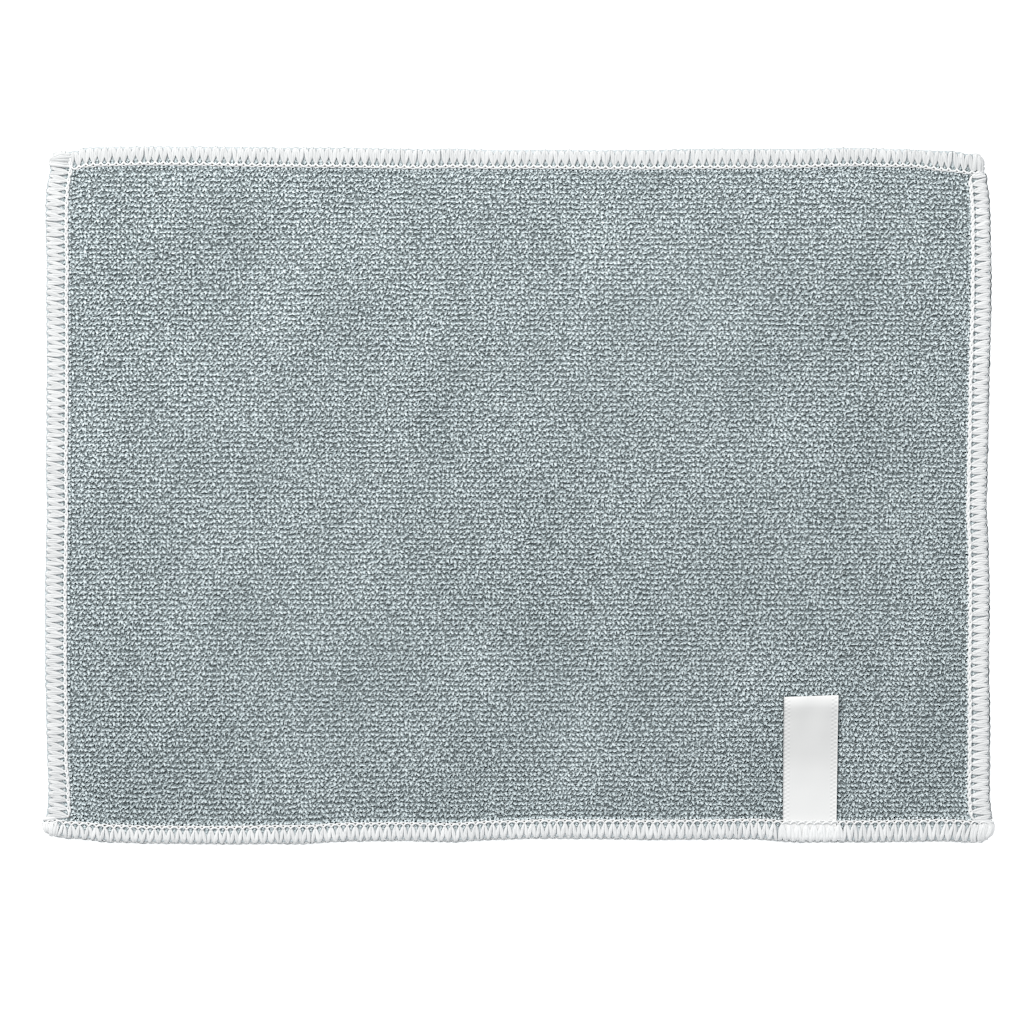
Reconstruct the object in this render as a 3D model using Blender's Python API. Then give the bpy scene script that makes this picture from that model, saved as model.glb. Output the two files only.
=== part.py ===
"""Microfibre cleaning cloth: a terry panel, its overlocked edging and a folded care label.

Metres, +Z up. The cloth lies flat, underside at z = 0, long side along X, label towards -Y.
The origin is the middle of the cloth's bounding box, on its underside.
"""
import math

import bmesh
import bpy
from mathutils import Vector

MM = 0.001

# Driving dimensions
CLOTH_LENGTH = 0.300        # along X, edge to edge
CLOTH_WIDTH = 0.2205        # along Y, edge to edge
CORNER_RADIUS = 0.0035      # of the outer edge; the seam's own corners are square
EDGING_WIDTH = 0.0060       # outer edge to the inner chain of the overlocking
FULL_PILE = 0.016           # outer edge to where the pile stands at its full height
GAP = 0.0003                # clearance between neighbouring pieces

LABEL_CENTRE = 0.0935       # along X
LABEL_WIDTH = 0.0170
LABEL_TAPER = 0.0003        # the fold is this much wider than the seam end
LABEL_REACH = 0.0463        # outer edge of the cloth to the label's fold
LABEL_TUCK = 0.0014         # outer edge of the cloth to the label's cut ends
LABEL_PLY = 0.00035         # one layer of the ribbon
LABEL_SPRING = 0.0004       # how far the fold stands off the pile
LABEL_OPEN = 0.0002         # how much wider the gap between the layers is at the fold

GRID_STEP = 0.0125          # spacing of the panel's grid away from its edges
CORNER_REACH = 0.016        # length over which the edging's sections turn to the corner's mitre
WANDER_REACH = 0.030        # how far inside the edge its wander is felt
RAMP_START = 0.0006         # beside the label, where the edging starts to come down
RAMP_LENGTH = 0.0025
SWELL_FADE = 0.012          # the swells die out over this distance from the label
SHARP_ANGLE = 40            # degrees; flatter folds between faces are shaded smooth

HALF_LENGTH = CLOTH_LENGTH / 2
HALF_WIDTH = CLOTH_WIDTH / 2
BAND = EDGING_WIDTH / MM    # the edging's width in the tables' millimetres

# How far each edge wanders out from its straight line: place along the edge, wander outwards.
FAR_EDGE = (                # towards +Y; x_mm, out_mm
    (-145, -0.6), (-133, 0.0), (-117, 0.3), (-53, 0.3), (-37, 0.0), (-21, 0.0),
    (-6, -0.6), (10, -0.3), (26, -0.6), (42, -0.3), (58, 0.0), (74, -0.3),
    (90, -0.3), (106, 0.3), (122, -0.3), (138, -1.0), (146, -1.8),
)
NEAR_EDGE = (               # towards -Y, the label's side; x_mm, out_mm
    (-147, -1.9), (-141, -1.0), (-128, 0.0), (-117, 0.3), (-85, 0.6), (-69, 0.6),
    (-53, -0.3), (-37, -0.3), (-21, 0.0), (-6, -1.0), (10, -1.3), (26, -1.0),
    (42, -0.6), (58, -1.0), (74, -1.0), (90, 0.0), (106, 0.0), (137, -0.3), (143, 0.3),
)
LEFT_EDGE = (               # towards -X; y_mm, out_mm
    (-108, -0.4), (-104, 0.2), (-94, -0.6), (-81, -0.3), (-68, 0.0), (-56, 0.3),
    (-30, 0.3), (-17, 0.0), (-5, -0.3), (8, 0.0), (59, 0.0), (72, -0.3),
    (84, 0.0), (97, -0.6), (104, -1.6),
)
RIGHT_EDGE = (              # towards +X; y_mm, out_mm
    (-109, 0.5), (-105, 1.9), (-101, -0.8), (-94, 0.2), (-81, 0.2), (-68, -0.1),
    (-56, -0.4), (-43, -0.1), (-30, -0.1), (-17, -0.4), (-5, -1.1), (8, -0.8),
    (21, -0.4), (33, -0.1), (46, 0.2), (59, 0.5), (72, 0.5), (84, 0.2), (97, 0.2),
)

# Panel from its raw edge inwards: the raw edge is pressed thin inside the edging.
PANEL_PROFILE = (           # inset_mm, top_mm, top_under_label_mm, underside_mm
    (1.0, 1.70, 1.20, 0.95),
    (2.0, 1.90, 1.30, 0.75),
    (BAND + 0.2, 1.90, 1.30, 0.75),
    (BAND + 0.8, 2.25, 1.45, 0.00),
    (BAND + 3.0, 2.60, 2.10, 0.00),
    (BAND + 6.0, 2.75, 2.55, 0.00),
    (FULL_PILE / MM, 2.80, 2.80, 0.00),
)

# Section of the edging, wrapped round the raw edge: outside first, then back along the inside.
EDGING_SECTION = (          # inset_mm, height_mm, lift_over_label_mm
    (BAND, 0.00, 0.0), (0.8, 0.00, 0.0), (0.25, 0.25, 0.0), (0.0, 0.80, 0.0),
    (0.0, 1.80, 0.2), (0.25, 2.40, 0.6), (0.8, 2.65, 0.7), (BAND, 2.65, 0.7),
    (BAND, 2.20, 0.7), (1.0, 2.20, 0.7), (0.5, 1.90, 0.5), (0.5, 0.75, 0.0),
    (0.9, 0.45, 0.0), (BAND, 0.45, 0.0),
)

# Soft swells and hollows in the pile's face.
SWELLS = (                  # x_mm, y_mm, reach_mm, rise_mm
    (-118, 62, 40, 0.18), (-70, -48, 46, -0.16), (-34, 40, 38, 0.14), (8, -14, 44, 0.16),
    (52, 66, 42, -0.14), (104, 30, 40, 0.15), (28, -78, 36, -0.15), (-112, -70, 38, 0.14),
)

LABEL_STATIONS = (0.026, 0.036)   # insets past the full pile where the label rises to its fold
FOLD_STEPS = 6

# Linear colours and roughness
PANEL_COLOUR = (0.34, 0.38, 0.39)
THREAD_COLOUR = (0.83, 0.82, 0.80)
RIBBON_COLOUR = (0.82, 0.82, 0.81)
PANEL_ROUGHNESS = 0.95
THREAD_ROUGHNESS = 0.75
RIBBON_ROUGHNESS = 0.40


def clear_scene():
    for item in list(bpy.data.objects):
        bpy.data.objects.remove(item, do_unlink=True)


def mix(low, high, share):
    return low + (high - low) * share


def linear(share):
    return share


def ease(share):
    share = min(max(share, 0.0), 1.0)
    return share * share * (3.0 - 2.0 * share)


def between_rows(rows, place, column, shape=ease):
    """A column's value at a place in the first column, in the table's units."""
    if place <= rows[0][0]:
        return rows[0][column]
    for row, following in zip(rows, rows[1:]):
        if place <= following[0]:
            share = (place - row[0]) / (following[0] - row[0])
            return mix(row[column], following[column], shape(share))
    return rows[-1][column]


def wander(rows, place, inset):
    """How far a line this far inside an edge is moved outwards with the edge."""
    return between_rows(rows, place / MM, 1) * MM * ease(1.0 - inset / WANDER_REACH)


def plan_point(x, y):
    """Where a point of the nominal rectangle lies once corners are round and edges wander."""
    over_x = abs(x) - (HALF_LENGTH - CORNER_RADIUS)
    over_y = abs(y) - (HALF_WIDTH - CORNER_RADIUS)
    if over_x > 0 and over_y > 0:
        pull = max(over_x, over_y) / math.hypot(over_x, over_y)
        x = math.copysign(HALF_LENGTH - CORNER_RADIUS + over_x * pull, x)
        y = math.copysign(HALF_WIDTH - CORNER_RADIUS + over_y * pull, y)
    shift_x = wander(RIGHT_EDGE, y, HALF_LENGTH - x) - wander(LEFT_EDGE, y, HALF_LENGTH + x)
    shift_y = wander(FAR_EDGE, x, HALF_WIDTH - y) - wander(NEAR_EDGE, x, HALF_WIDTH + y)
    return x + shift_x, y + shift_y


def label_share(x):
    """1 where the label lies over this x, falling to 0 beside it."""
    beside = abs(x - LABEL_CENTRE) - LABEL_WIDTH / 2 - RAMP_START
    return 1.0 - min(max(beside / RAMP_LENGTH, 0.0), 1.0)


def swell(x, y):
    """Height of the soft swells, none at the edges and round the label."""
    inset = min(HALF_LENGTH - abs(x), HALF_WIDTH - abs(y))
    past_side = abs(x - LABEL_CENTRE) - LABEL_WIDTH / 2
    past_fold = y + HALF_WIDTH - LABEL_REACH
    from_label = ease(max(past_side, past_fold) / SWELL_FADE)
    height = 0.0
    for centre_x, centre_y, reach, rise in SWELLS:
        away = math.hypot(x / MM - centre_x, y / MM - centre_y) / reach
        height += rise * MM * math.exp(-2.0 * away * away)
    return height * ease((inset - EDGING_WIDTH) / FULL_PILE) * from_label


def panel_top(x, y):
    inset = min(HALF_LENGTH - abs(x), HALF_WIDTH - abs(y)) / MM
    plain = between_rows(PANEL_PROFILE, inset, 1, linear)
    pressed = between_rows(PANEL_PROFILE, (HALF_WIDTH + y) / MM, 2, linear)
    height = mix(plain, min(plain, pressed), label_share(x)) * MM
    return height + swell(x, y)


def panel_underside(x, y):
    inset = min(HALF_LENGTH - abs(x), HALF_WIDTH - abs(y)) / MM
    return between_rows(PANEL_PROFILE, inset, 3, linear) * MM


def grid_lines(half, wanted=()):
    """Grid lines across the panel: close together near both edges, even between them."""
    insets = [row[0] * MM for row in PANEL_PROFILE]
    flat = half - FULL_PILE
    steps = round(2 * flat / GRID_STEP)
    even = [-flat + 2 * flat * step / steps for step in range(steps + 1)]
    kept = [line for line in even if all(abs(line - place) > GRID_STEP / 4 for place in wanted)]
    edges = [half - inset for inset in insets[:-1]]
    return sorted(kept + list(wanted) + edges + [-line for line in edges])


def label_lines():
    """The x values beside the label where the edging starts and stops rising."""
    start = LABEL_WIDTH / 2 + RAMP_START
    reaches = (-start - RAMP_LENGTH, -start, start, start + RAMP_LENGTH)
    return [LABEL_CENTRE + reach for reach in reaches]


def material(name, colour, roughness):
    made = bpy.data.materials.new(name)
    made.use_nodes = True
    shader = made.node_tree.nodes["Principled BSDF"]
    shader.inputs["Base Color"].default_value = (*colour, 1.0)
    shader.inputs["Roughness"].default_value = roughness
    shader.inputs["Metallic"].default_value = 0.0
    made.diffuse_color = (*colour, 1.0)
    return made


def add_piece(name, mesh_data, colour, roughness):
    """Puts a closed bmesh into the scene as one named object with its own material."""
    bmesh.ops.recalc_face_normals(mesh_data, faces=mesh_data.faces)
    mesh = bpy.data.meshes.new(name)
    mesh_data.to_mesh(mesh)
    mesh_data.free()
    mesh.shade_smooth()
    mesh.set_sharp_from_angle(angle=math.radians(SHARP_ANGLE))
    mesh.materials.append(material(name, colour, roughness))
    piece = bpy.data.objects.new(name, mesh)
    bpy.context.collection.objects.link(piece)
    return piece


def terry_panel():
    """The knitted terry sheet, from its raw edge inside the edging to the full pile."""
    columns = grid_lines(HALF_LENGTH, label_lines())
    rows = grid_lines(HALF_WIDTH)
    mesh_data = bmesh.new()
    top, underside = [], []
    for y in rows:
        top_row, under_row = [], []
        for x in columns:
            place = plan_point(x, y)
            top_row.append(mesh_data.verts.new((*place, panel_top(x, y))))
            under_row.append(mesh_data.verts.new((*place, panel_underside(x, y))))
        top.append(top_row)
        underside.append(under_row)
    last_row, last_column = len(rows) - 1, len(columns) - 1
    for row in range(last_row):
        for column in range(last_column):
            for sheet in (top, underside):
                mesh_data.faces.new((
                    sheet[row][column], sheet[row][column + 1],
                    sheet[row + 1][column + 1], sheet[row + 1][column],
                ))
    rim = [(0, column) for column in range(last_column)]
    rim += [(row, last_column) for row in range(last_row)]
    rim += [(last_row, column) for column in range(last_column, 0, -1)]
    rim += [(row, 0) for row in range(last_row, 0, -1)]
    for (row, column), (next_row, next_column) in zip(rim, rim[1:] + rim[:1]):
        mesh_data.faces.new((
            underside[row][column], underside[next_row][next_column],
            top[next_row][next_column], top[row][column],
        ))
    return add_piece("terry_panel", mesh_data, PANEL_COLOUR, PANEL_ROUGHNESS)


def side_stations(half, wanted=()):
    """Places along one edge where the edging has a section, from corner to corner."""
    lines = [line for line in grid_lines(half, wanted) if abs(line) < half - EDGING_WIDTH]
    corner = [half - CORNER_RADIUS, half - CORNER_RADIUS / 2]
    return [-half] + [-place for place in reversed(corner)] + lines + corner


def edging_stations():
    """(side, place along it) round the cloth, anticlockwise from the near left corner."""
    long_near = side_stations(HALF_LENGTH, label_lines())
    long_far = side_stations(HALF_LENGTH)
    short = side_stations(HALF_WIDTH)
    stations = [("near", place) for place in long_near]
    stations += [("right", place) for place in short]
    stations += [("far", place) for place in long_far]
    stations += [("left", place) for place in short]
    return stations


def edging_point(side, place, inset):
    """Nominal plan point at a station, this far in from the edge, mitred at the corners."""
    half = HALF_LENGTH if side in ("near", "far") else HALF_WIDTH
    mitre = min(max((abs(place) - half + CORNER_REACH) / CORNER_REACH, 0.0), 1.0)
    along = place - math.copysign(inset * mitre, place)
    if side == "near":
        return along, inset - HALF_WIDTH
    if side == "right":
        return HALF_LENGTH - inset, along
    if side == "far":
        return -along, HALF_WIDTH - inset
    return inset - HALF_LENGTH, -along


def overlock_edging():
    """The band of thread sewn round the raw edge, one closed ring with a C section."""
    mesh_data = bmesh.new()
    rings = []
    for side, place in edging_stations():
        over_label = label_share(place) if side == "near" else 0.0
        section = []
        for inset, height, lift in EDGING_SECTION:
            x, y = plan_point(*edging_point(side, place, inset * MM))
            section.append(mesh_data.verts.new((x, y, (height + lift * over_label) * MM)))
        rings.append(section)
    corners = len(EDGING_SECTION)
    for section, following in zip(rings, rings[1:] + rings[:1]):
        for corner in range(corners):
            after = (corner + 1) % corners
            mesh_data.faces.new((
                section[corner], following[corner], following[after], section[after],
            ))
    return add_piece("overlock_edging", mesh_data, THREAD_COLOUR, THREAD_ROUGHNESS)


def label_layers(inset):
    """Heights of the four faces of the folded ribbon at an inset: lower ply, then upper ply."""
    spring = ease((inset - LABEL_REACH / 2) / (LABEL_REACH / 2))
    bed = panel_top(LABEL_CENTRE, inset - HALF_WIDTH) + GAP + LABEL_SPRING * spring
    lower_top = bed + LABEL_PLY
    upper_underside = lower_top + GAP + LABEL_OPEN * spring
    return bed, lower_top, upper_underside, upper_underside + LABEL_PLY


def label_strip():
    """Outer and inner face of the ribbon, from its lower cut end round the fold to the upper."""
    insets = [LABEL_TUCK] + [row[0] * MM for row in PANEL_PROFILE[1:]] + list(LABEL_STATIONS)
    heights = label_layers(LABEL_REACH)
    outer_radius = (heights[3] - heights[0]) / 2
    inner_radius = (heights[2] - heights[1]) / 2
    fold = LABEL_REACH - outer_radius
    middle = (heights[0] + heights[3]) / 2
    outer = [(inset, label_layers(inset)[0]) for inset in insets]
    inner = [(inset, label_layers(inset)[1]) for inset in insets]
    for step in range(FOLD_STEPS + 1):
        turn = math.pi * (step / FOLD_STEPS - 0.5)
        outer.append((fold + outer_radius * math.cos(turn), middle + outer_radius * math.sin(turn)))
        inner.append((fold + inner_radius * math.cos(turn), middle + inner_radius * math.sin(turn)))
    outer += [(inset, label_layers(inset)[3]) for inset in reversed(insets)]
    inner += [(inset, label_layers(inset)[2]) for inset in reversed(insets)]
    return outer, inner


def care_label():
    """The satin ribbon, folded at its middle and caught in the edging by both ends."""
    mesh_data = bmesh.new()
    faces_of_ribbon = []
    for side in (-1, 1):
        for strip in label_strip():
            line = []
            for inset, height in strip:
                half = (LABEL_WIDTH + LABEL_TAPER * inset / LABEL_REACH) / 2
                x, y = plan_point(LABEL_CENTRE + side * half, inset - HALF_WIDTH)
                line.append(mesh_data.verts.new((x, y, height)))
            faces_of_ribbon.append(line)
    left_outer, left_inner, right_outer, right_inner = faces_of_ribbon
    pairs = (
        (left_outer, left_inner), (right_inner, right_outer),
        (right_outer, left_outer), (left_inner, right_inner),
    )
    for one, other in pairs:
        for step in range(len(one) - 1):
            mesh_data.faces.new((one[step], one[step + 1], other[step + 1], other[step]))
    for end in (0, -1):
        mesh_data.faces.new((left_outer[end], right_outer[end], right_inner[end], left_inner[end]))
    return add_piece("care_label", mesh_data, RIBBON_COLOUR, RIBBON_ROUGHNESS)


def centre_on_origin(pieces):
    """Moves the meshes so that the whole cloth's box is centred over the origin."""
    points = [corner.co for piece in pieces for corner in piece.data.vertices]
    middle_x = (min(point.x for point in points) + max(point.x for point in points)) / 2
    middle_y = (min(point.y for point in points) + max(point.y for point in points)) / 2
    shift = Vector((-middle_x, -middle_y, 0.0))
    for piece in pieces:
        for corner in piece.data.vertices:
            corner.co += shift


def main():
    clear_scene()
    pieces = [terry_panel(), overlock_edging(), care_label()]
    centre_on_origin(pieces)


main()
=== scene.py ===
"""Looks of the microfibre cloth: looped terry panel, overlocked edging and satin care label.

Metres, +Z up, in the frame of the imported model: the cloth lies flat on z = 0, label towards -Y.
Tables are in millimetres, as their column names say.
"""

import math

import bpy
import numpy as np
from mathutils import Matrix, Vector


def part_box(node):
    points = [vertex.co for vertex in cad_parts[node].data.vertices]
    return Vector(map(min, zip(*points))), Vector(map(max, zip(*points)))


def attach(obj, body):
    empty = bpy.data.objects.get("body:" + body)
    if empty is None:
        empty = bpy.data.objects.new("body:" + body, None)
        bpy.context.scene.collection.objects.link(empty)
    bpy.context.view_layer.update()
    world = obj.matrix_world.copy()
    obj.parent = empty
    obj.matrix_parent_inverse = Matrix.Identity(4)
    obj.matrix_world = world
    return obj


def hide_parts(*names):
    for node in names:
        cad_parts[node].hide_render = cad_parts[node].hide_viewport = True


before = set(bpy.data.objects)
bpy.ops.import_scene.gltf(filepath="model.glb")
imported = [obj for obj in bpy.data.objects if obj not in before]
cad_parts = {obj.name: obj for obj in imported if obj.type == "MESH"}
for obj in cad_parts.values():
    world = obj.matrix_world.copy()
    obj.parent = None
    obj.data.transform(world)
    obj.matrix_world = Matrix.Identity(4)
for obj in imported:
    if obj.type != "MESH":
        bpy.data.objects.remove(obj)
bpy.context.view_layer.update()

MM = 0.001
TURN = 2.0 * math.pi

# ---------------------------------------------------------------- cloth sizes
CLOTH_LENGTH = 0.300
CLOTH_WIDTH = 0.2205
HALF_LENGTH = CLOTH_LENGTH / 2
HALF_WIDTH = CLOTH_WIDTH / 2
CORNER_RADIUS = 0.0035
WANDER_REACH = 0.030

FAR_EDGE = (                # towards +Y; x_mm, out_mm
    (-147, -1.1), (-141.5, -0.9), (-138.5, 0.2), (-133, 0.4), (-117, 0.65), (-100, 0.6), (-88, 0.45),
    (-75, 0.3), (-53, 0.25), (-37, -0.2), (-30, -0.35), (-21, -0.1), (-6, -0.55), (10, -0.45), (26, -0.6),
    (42, -0.5), (58, -0.2), (74, -0.2), (90, -0.2), (106, 0.2), (122, -0.25), (138, -0.85), (146, -1.8),
)
NEAR_EDGE = (               # towards -Y, the label's side; x_mm, out_mm
    (-147, -2.0), (-141, -1.15), (-128, -0.05), (-117, 0.3), (-92, 0.6), (-77, 0.4), (-69, 0.45),
    (-53, -0.4), (-37, -0.5), (-21, -0.15), (-6, -0.95), (10, -1.3), (26, -1.15), (42, -0.85),
    (58, -0.95), (74, -1.05), (90, -0.05), (106, -0.1), (137, -0.35), (143, 0.0),
)
LEFT_EDGE = (               # towards -X; y_mm, out_mm
    (-108, 0.7), (-106, 1.0), (-103.2, -0.3), (-101, -0.6), (-94, -0.85), (-81, -0.35), (-68, -0.05),
    (-56, 0.2), (-30, 0.25), (-17, 0.0), (-5, -0.3), (8, 0.0), (23, -0.2), (38, -0.28), (53, -0.25),
    (62, -0.1), (72, -0.3), (84, 0.1), (92, 0.1), (97, -0.1), (101, -0.7), (104, -1.4),
)
RIGHT_EDGE = (              # towards +X; y_mm, out_mm
    (-109, 0.5), (-105, 1.7), (-102, 0.5), (-99, 0.1), (-94, -0.15), (-81, -0.05), (-68, -0.1),
    (-56, -0.4), (-43, -0.2), (-30, -0.2), (-17, -0.5), (-5, -1.1), (8, -0.8), (21, -0.5), (33, -0.35),
    (46, 0.0), (59, 0.35), (72, 0.4), (84, 0.1), (92, -0.05), (97, -0.45), (101, -1.0), (107, -1.5),
)

# How wide the overlocking is along each side: place along the side, outer edge to needle line.
BAND_WIDTH = {              # place_mm, width_mm
    "near": ((-140, 4.1), (-125, 4.1), (-60, 4.4), (0, 4.6), (60, 4.9), (90, 5.3), (140, 5.5)),
    "right": ((-105, 5.5), (-80, 5.4), (-60, 5.2), (0, 4.95), (60, 4.9), (90, 4.5), (105, 4.3)),
    "far": ((-140, 5.8), (-125, 4.8), (-60, 5.4), (0, 5.1), (60, 5.4), (120, 5.0), (140, 5.2)),
    "left": ((-105, 6.4), (-60, 6.1), (0, 6.0), (60, 6.0), (85, 5.7), (94, 6.0), (101, 6.4), (105, 7.3)),
}

LABEL_CENTRE = 0.0935
LABEL_WIDTH = 0.0170
LABEL_TAPER = 0.0003
LABEL_REACH = 0.0463


def eased(rows, place):
    """A two-column table's value at places in its own units, eased between its rows."""
    start, value = np.array(rows, float).T
    place = np.clip(place, start[0], start[-1])
    row = np.clip(np.searchsorted(start, place, side="right") - 1, 0, len(start) - 2)
    share = (place - start[row]) / (start[row + 1] - start[row])
    share = share * share * (3.0 - 2.0 * share)
    return value[row] + (value[row + 1] - value[row]) * share


def ease(share):
    share = np.clip(share, 0.0, 1.0)
    return share * share * (3.0 - 2.0 * share)


def wander(rows, place, inset):
    return eased(rows, place / MM) * MM * ease(1.0 - inset / WANDER_REACH)


def plan(x, y):
    """Where points of the nominal rectangle lie once corners are round and edges wander."""
    over_x = np.maximum(np.abs(x) - HALF_LENGTH + CORNER_RADIUS, 0.0)
    over_y = np.maximum(np.abs(y) - HALF_WIDTH + CORNER_RADIUS, 0.0)
    both = (over_x > 0) & (over_y > 0)
    pull = np.where(both, np.maximum(over_x, over_y) / np.maximum(np.hypot(over_x, over_y), 1e-9), 1.0)
    x = x - np.sign(x) * over_x * (1.0 - pull)
    y = y - np.sign(y) * over_y * (1.0 - pull)
    shift_x = wander(RIGHT_EDGE, y, HALF_LENGTH - x) - wander(LEFT_EDGE, y, HALF_LENGTH + x)
    shift_y = wander(FAR_EDGE, x, HALF_WIDTH - y) - wander(NEAR_EDGE, x, HALF_WIDTH + y)
    return x + shift_x, y + shift_y


SIDES = ("near", "right", "far", "left")
HALF_OF = {"near": HALF_LENGTH, "far": HALF_LENGTH, "right": HALF_WIDTH, "left": HALF_WIDTH}


def side_point(side, along, inset):
    """Nominal points on a side: along it anticlockwise, and in from its straight line."""
    if side == "near":
        return along, inset - HALF_WIDTH
    if side == "right":
        return HALF_LENGTH - inset, along
    if side == "far":
        return -along, HALF_WIDTH - inset
    return inset - HALF_LENGTH, -along


def outline_centre():
    """Middle of the wandering outline's box, so that it can be laid on the frame's own."""
    xs, ys = [], []
    for side in SIDES:
        along = np.linspace(-HALF_OF[side], HALF_OF[side], 600)
        x, y = plan(*side_point(side, along, 0.0 * along))
        xs.append(x)
        ys.append(y)
    x, y = np.concatenate(xs), np.concatenate(ys)
    return (x.min() + x.max()) / 2, (y.min() + y.max()) / 2


EDGING_LOW, EDGING_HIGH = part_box("overlock_edging")
OWN_CENTRE = outline_centre()
SHIFT_X = (EDGING_LOW.x + EDGING_HIGH.x) / 2 - OWN_CENTRE[0]
SHIFT_Y = (EDGING_LOW.y + EDGING_HIGH.y) / 2 - OWN_CENTRE[1]


def place(x, y):
    """Points of the nominal rectangle, as they lie in the frame."""
    x, y = plan(x, y)
    return x + SHIFT_X, y + SHIFT_Y


def drift(x, y, wave, seed, terms=14):
    """Smooth random field of about unit size whose swells are this many metres apart."""
    random = np.random.default_rng(seed)
    total = np.zeros(np.broadcast(x, y).shape)
    for _ in range(terms):
        heading = random.uniform(0, TURN)
        number = TURN / (wave * random.uniform(0.7, 1.5))
        phase = random.uniform(0, TURN)
        total += np.cos(number * (x * math.cos(heading) + y * math.sin(heading)) + phase)
    return total / math.sqrt(terms / 2)


# ---------------------------------------------------------------- meshes
def mesh_object(name, points, quads, material, fields=(), uv=None):
    """A smooth-shaded mesh from arrays; fields are per-point values and uv is per corner."""
    mesh = bpy.data.meshes.new(name)
    points = np.ascontiguousarray(points, np.float32).reshape(-1, 3)
    quads = np.ascontiguousarray(quads, np.int32)
    corners = quads.shape[1]
    mesh.vertices.add(len(points))
    mesh.vertices.foreach_set("co", points.ravel())
    mesh.loops.add(quads.size)
    mesh.loops.foreach_set("vertex_index", quads.ravel())
    mesh.polygons.add(len(quads))
    mesh.polygons.foreach_set("loop_start", np.arange(0, quads.size, corners, dtype=np.int32))
    mesh.update(calc_edges=True)
    mesh.shade_smooth()
    for field, values in fields:
        attribute = mesh.attributes.new(field, "FLOAT", "POINT")
        attribute.data.foreach_set("value", np.ascontiguousarray(values, np.float32).ravel())
    if uv is not None:
        layer = mesh.uv_layers.new(name="OFBake")
        layer.data.foreach_set("uv", np.ascontiguousarray(uv, np.float32).ravel())
    mesh.materials.append(material)
    piece = bpy.data.objects.new(name, mesh)
    bpy.context.scene.collection.objects.link(piece)
    return piece


def unit(vectors):
    return vectors / np.maximum(np.linalg.norm(vectors, axis=-1, keepdims=True), 1e-12)


def strand_mesh(name, paths, half_width, half_height, flat_side, angles, closed, material, tone):
    """Many soft strands in one mesh: paths is (strands, points, 3), the half sizes (strands, points).

    The faces are wound towards each strand's own middle line.
    """
    count, steps = paths.shape[:2]
    ahead = np.empty_like(paths)
    ahead[:, 1:-1] = paths[:, 2:] - paths[:, :-2]
    ahead[:, 0] = paths[:, 1] - paths[:, 0]
    ahead[:, -1] = paths[:, -1] - paths[:, -2]
    ahead = unit(ahead)
    across = np.broadcast_to(flat_side, paths.shape)
    across = unit(across - ahead * (across * ahead).sum(-1, keepdims=True))
    upward = np.cross(across, ahead)
    angles = np.asarray(angles, float)
    ring = (
        across[:, :, None] * (half_width[:, :, None] * np.cos(angles))[..., None]
        + upward[:, :, None] * (half_height[:, :, None] * np.sin(angles))[..., None]
    )
    points = paths[:, :, None] + ring
    sides = len(angles)
    walls = sides if closed else sides - 1
    first = (np.arange(count) * steps * sides)[:, None, None]
    step = (np.arange(steps - 1) * sides)[None, :, None]
    side = np.arange(walls)[None, None, :]
    after = (side + 1) % sides
    quads = np.stack([
        first + step + side, first + step + after,
        first + step + sides + after, first + step + sides + side,
    ], -1).reshape(-1, 4)
    along = np.broadcast_to(np.linspace(0, 1, steps)[None, :, None], (count, steps, sides))
    tones = np.broadcast_to(tone[:, None, None], (count, steps, sides))
    return mesh_object(
        name, points, quads, material, (("along", along), ("tone", tones)),
        strand_uv(count, steps, walls),
    )


def threads(name, paths, half_width, half_height, flat_side, material, tone, sides=4):
    """Round strands, closed all the way round."""
    angles = TURN * np.arange(sides) / sides
    return strand_mesh(name, paths, half_width, half_height, flat_side, angles, True, material, tone)


def loops(name, paths, half_width, half_height, flat_side, material, tone):
    """Yarn of half-round section, a shallow channel whose open side faces away from the ground sheet."""
    angles = np.radians([-20, 90, 200])
    return strand_mesh(name, paths, half_width, half_height, flat_side, angles, False, material, tone)


def grid_quads(deep, wide):
    """Quads of one face of a sheet from its grid of points, and the points of its rim in turn."""
    number = np.arange(deep * wide).reshape(deep, wide)
    face = np.stack([number[:-1, :-1], number[:-1, 1:], number[1:, 1:], number[1:, :-1]], -1)
    rim = np.concatenate([number[0, :-1], number[:-1, -1], number[-1, :0:-1], number[:0:-1, 0]])
    return face.reshape(-1, 4), rim


def strand_uv(count, steps, walls):
    """Every strand's own cell of the unit square: along it in u, round it in v."""
    cells = math.ceil(math.sqrt(count))
    number = np.arange(count)
    left = (number % cells)[:, None, None, None]
    low = (number // cells)[:, None, None, None]
    step = np.arange(steps - 1)[None, :, None, None] + np.array([0, 0, 1, 1])
    side = np.arange(walls)[None, None, :, None] + np.array([0, 1, 1, 0])
    margin = 0.08
    u = (left + margin + (1 - 2 * margin) * step / (steps - 1)) / cells
    v = (low + margin + (1 - 2 * margin) * side / walls) / cells
    return np.stack(np.broadcast_arrays(u, v), -1).reshape(-1, 2)


# ---------------------------------------------------------------- panel form
PANEL_PROFILE = (           # past_seam_mm, top_mm
    (-5.0, 1.95), (0.2, 2.35), (0.8, 2.55), (3.0, 2.70), (6.0, 2.78), (10.0, 2.8),
)
SWELLS = (                  # x_mm, y_mm, reach_mm, rise_mm
    (-118, 62, 40, 0.18), (-70, -48, 46, -0.16), (-34, 40, 38, 0.14), (8, -14, 44, 0.16),
    (52, 66, 42, -0.14), (104, 30, 40, 0.15), (28, -78, 36, -0.15), (-112, -70, 38, 0.14),
)


def past_seam(x, y):
    """Distance inwards from the needle line, in metres; negative inside the overlocking."""
    gaps = [
        HALF_WIDTH + y - eased(BAND_WIDTH["near"], x / MM) * MM,
        HALF_LENGTH - x - eased(BAND_WIDTH["right"], y / MM) * MM,
        HALF_WIDTH - y - eased(BAND_WIDTH["far"], -x / MM) * MM,
        HALF_LENGTH + x - eased(BAND_WIDTH["left"], -y / MM) * MM,
    ]
    return np.minimum.reduce(gaps)


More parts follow.
